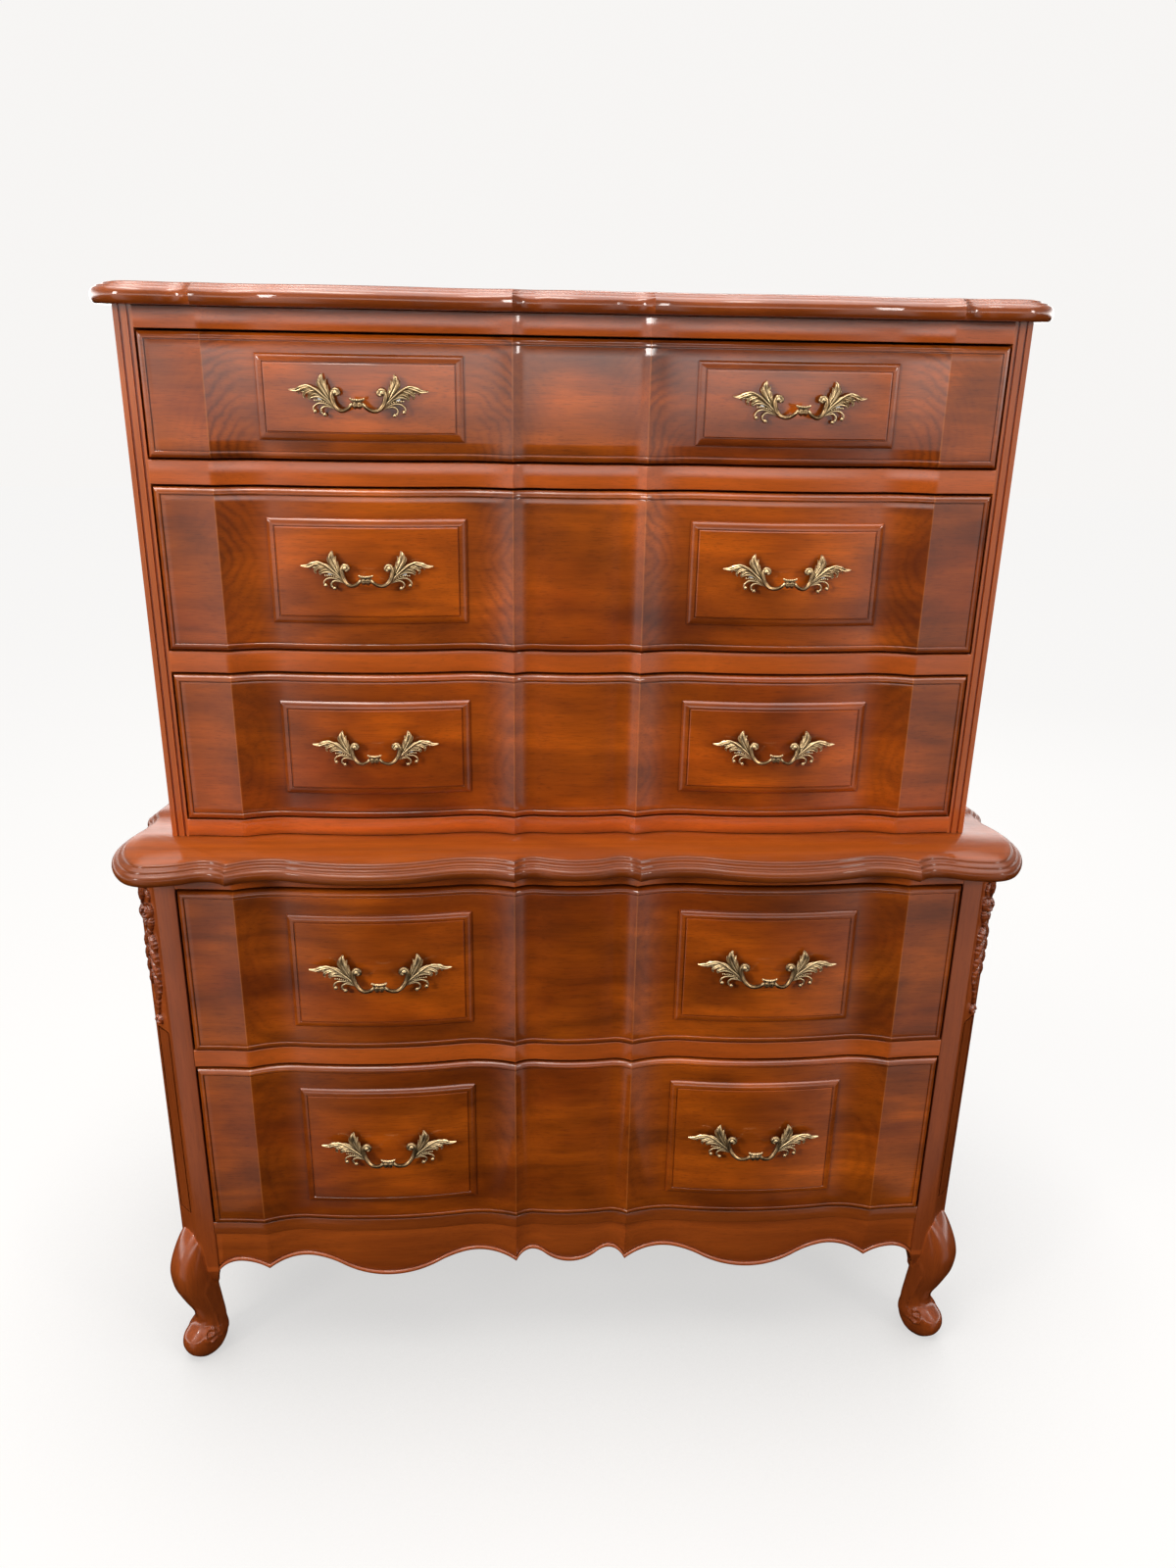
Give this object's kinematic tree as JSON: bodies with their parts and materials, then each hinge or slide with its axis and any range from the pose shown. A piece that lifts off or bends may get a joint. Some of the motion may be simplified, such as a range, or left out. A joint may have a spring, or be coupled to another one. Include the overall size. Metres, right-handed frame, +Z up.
{
  "type": "highboy",
  "caption": "Tall two-part chest of drawers with serpentine fronts, moulded slabs, canted carved corner posts, cabriole legs and brass pulls.",
  "frame": {"origin": "on the floor at the centre of the plan, under the middle of the overall box", "axes": "+Z up, front towards -Y, +X to the right of someone who faces the front"},
  "size_m": [1.014, 0.508, 1.272],
  "materials": {
    "case_wood": "satin lacquer with a dark glaze",
    "drawer_front_wood": "satin lacquer on figured veneer",
    "inner_wood": "plain oiled",
    "back_panel_wood": "unfinished board",
    "antique_brass": "antique brass, dark in the recesses",
    "steel": "zinc plated"
  },
  "bodies": {
    "carcass": {"corner_carvings": "case_wood", "front_apron": "case_wood", "front_leg_left": "case_wood", "front_leg_right": "case_wood", "lower_back_panel": "back_panel_wood", "lower_bottom_rail": "case_wood", "lower_drawer_runners": "inner_wood", "lower_frieze_rail": "case_wood", "lower_middle_rail": "case_wood", "lower_side_left": "case_wood", "lower_side_right": "case_wood", "rear_leg_left": "case_wood", "rear_leg_right": "case_wood", "top_slab": "case_wood", "upper_back_panel": "back_panel_wood", "upper_bottom_rail": "case_wood", "upper_drawer_runners": "inner_wood", "upper_frieze_rail": "case_wood", "upper_post_left": "case_wood", "upper_post_right": "case_wood", "upper_rail_below_drawer_1": "case_wood", "upper_rail_below_drawer_2": "case_wood", "upper_side_left": "case_wood", "upper_side_right": "case_wood", "waist_slab": "case_wood"},
    "drawer_1": {"drawer_1_back": "inner_wood", "drawer_1_bottom": "inner_wood", "drawer_1_front": "drawer_front_wood", "drawer_1_pull_bolts": "steel", "drawer_1_pulls": "antique_brass", "drawer_1_side_left": "inner_wood", "drawer_1_side_right": "inner_wood"},
    "drawer_2": {"drawer_2_back": "inner_wood", "drawer_2_bottom": "inner_wood", "drawer_2_front": "drawer_front_wood", "drawer_2_pull_bolts": "steel", "drawer_2_pulls": "antique_brass", "drawer_2_side_left": "inner_wood", "drawer_2_side_right": "inner_wood"},
    "drawer_3": {"drawer_3_back": "inner_wood", "drawer_3_bottom": "inner_wood", "drawer_3_front": "drawer_front_wood", "drawer_3_pull_bolts": "steel", "drawer_3_pulls": "antique_brass", "drawer_3_side_left": "inner_wood", "drawer_3_side_right": "inner_wood"},
    "drawer_4": {"drawer_4_back": "inner_wood", "drawer_4_bottom": "inner_wood", "drawer_4_front": "drawer_front_wood", "drawer_4_pull_bolts": "steel", "drawer_4_pulls": "antique_brass", "drawer_4_side_left": "inner_wood", "drawer_4_side_right": "inner_wood"},
    "drawer_5": {"drawer_5_back": "inner_wood", "drawer_5_bottom": "inner_wood", "drawer_5_front": "drawer_front_wood", "drawer_5_pull_bolts": "steel", "drawer_5_pulls": "antique_brass", "drawer_5_side_left": "inner_wood", "drawer_5_side_right": "inner_wood"}
  },
  "joints": [
    {"name": "drawer_1_slide", "type": "slide", "parent": "carcass", "child": "drawer_1", "axis": [0, -1, 0], "range_m": [0, 0.28]},
    {"name": "drawer_2_slide", "type": "slide", "parent": "carcass", "child": "drawer_2", "axis": [0, -1, 0], "range_m": [0, 0.28]},
    {"name": "drawer_3_slide", "type": "slide", "parent": "carcass", "child": "drawer_3", "axis": [0, -1, 0], "range_m": [0, 0.28]},
    {"name": "drawer_4_slide", "type": "slide", "parent": "carcass", "child": "drawer_4", "axis": [0, -1, 0], "range_m": [0, 0.32]},
    {"name": "drawer_5_slide", "type": "slide", "parent": "carcass", "child": "drawer_5", "axis": [0, -1, 0], "range_m": [0, 0.32]}
  ]
}
